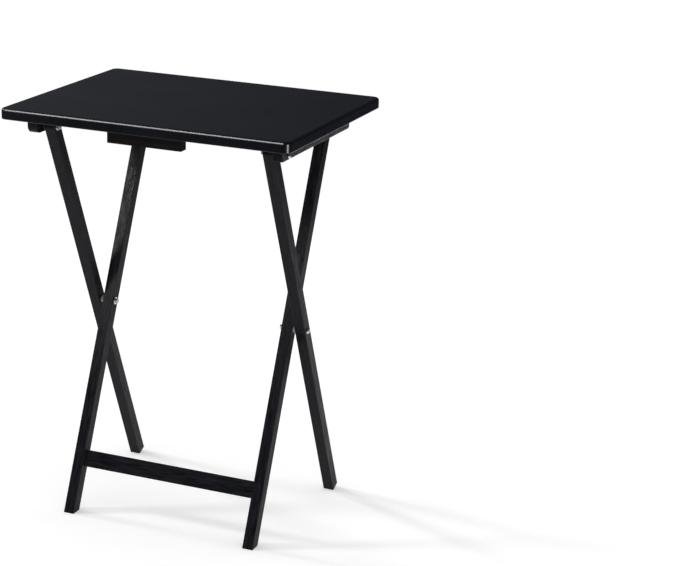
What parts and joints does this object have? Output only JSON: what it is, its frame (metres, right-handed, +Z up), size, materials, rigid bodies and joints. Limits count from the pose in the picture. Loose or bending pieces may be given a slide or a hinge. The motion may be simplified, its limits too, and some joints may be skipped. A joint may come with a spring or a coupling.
{
  "type": "folding tray table",
  "caption": "Folding tray table: a flat rectangular wooden top on crossed leg pairs, hinged at the front and hooked over a round rail at the rear.",
  "frame": {"origin": "on the floor, under the middle of the open table", "axes": "+X along the long side of the top, to the right seen from the front; +Y to the rear, where the hooked block is; +Z up"},
  "size_m": [0.483, 0.366, 0.675],
  "materials": {
    "top_lacquer": "satin black lacquer, smooth, with a faint cool sheen",
    "black_wood": "black stain under a thin satin lacquer, grain just visible",
    "stained_block": "dark brown-black stain, matt, grain visible",
    "bare_wood": "bare hardwood pin, unfinished",
    "bright_steel": "bright nickel plated steel",
    "dark_steel": "blackened steel wood screws",
    "pale_nylon": "pale nylon spacer rings",
    "black_nylon": "black nylon spacer rings"
  },
  "bodies": {
    "outer_frame": {"left_outer_leg": "black_wood", "right_outer_leg": "black_wood", "left_pivot_bolt": "bright_steel", "left_pivot_spacer": "black_nylon", "left_pivot_washer": "bright_steel", "left_pivot_nut": "bright_steel", "left_cross_bolt": "bright_steel", "left_cross_spacer": "pale_nylon", "left_cross_washer": "bright_steel", "left_cross_nut": "bright_steel", "right_pivot_bolt": "bright_steel", "right_pivot_spacer": "black_nylon", "right_pivot_washer": "bright_steel", "right_pivot_nut": "bright_steel", "right_cross_bolt": "bright_steel", "right_cross_spacer": "pale_nylon", "right_cross_washer": "bright_steel", "right_cross_nut": "bright_steel"},
    "inner_frame": {"left_inner_leg": "black_wood", "right_inner_leg": "black_wood", "stretcher": "black_wood", "rear_rail": "black_wood", "left_stretcher_pin_lower": "bare_wood", "left_stretcher_pin_upper": "bare_wood", "right_stretcher_pin_lower": "bare_wood", "right_stretcher_pin_upper": "bare_wood"},
    "top": {"tabletop": "top_lacquer", "left_cleat": "black_wood", "right_cleat": "black_wood", "hanger_block": "stained_block", "hook_block": "black_wood", "left_cleat_screw_front": "dark_steel", "left_cleat_screw_middle": "dark_steel", "left_cleat_screw_rear": "dark_steel", "right_cleat_screw_front": "dark_steel", "right_cleat_screw_middle": "dark_steel", "right_cleat_screw_rear": "dark_steel", "hanger_block_screw_left": "dark_steel", "hanger_block_screw_right": "dark_steel", "hook_block_screw_left": "dark_steel", "hook_block_screw_right": "dark_steel"}
  },
  "joints": [
    {"name": "top_swing", "type": "hinge", "parent": "outer_frame", "child": "top", "pos_m": [0, -0.12, 0.6404], "axis": [1, 0, 0], "range_deg": [0, 113]},
    {"name": "leg_fold", "type": "hinge", "parent": "outer_frame", "child": "inner_frame", "pos_m": [0, 0.0152, 0.323], "axis": [1, 0, 0], "range_deg": [0, 46.1]}
  ],
  "couplings": [
    {"joint": "leg_fold", "follows": "top_swing", "ratio": 0.4079}
  ]
}
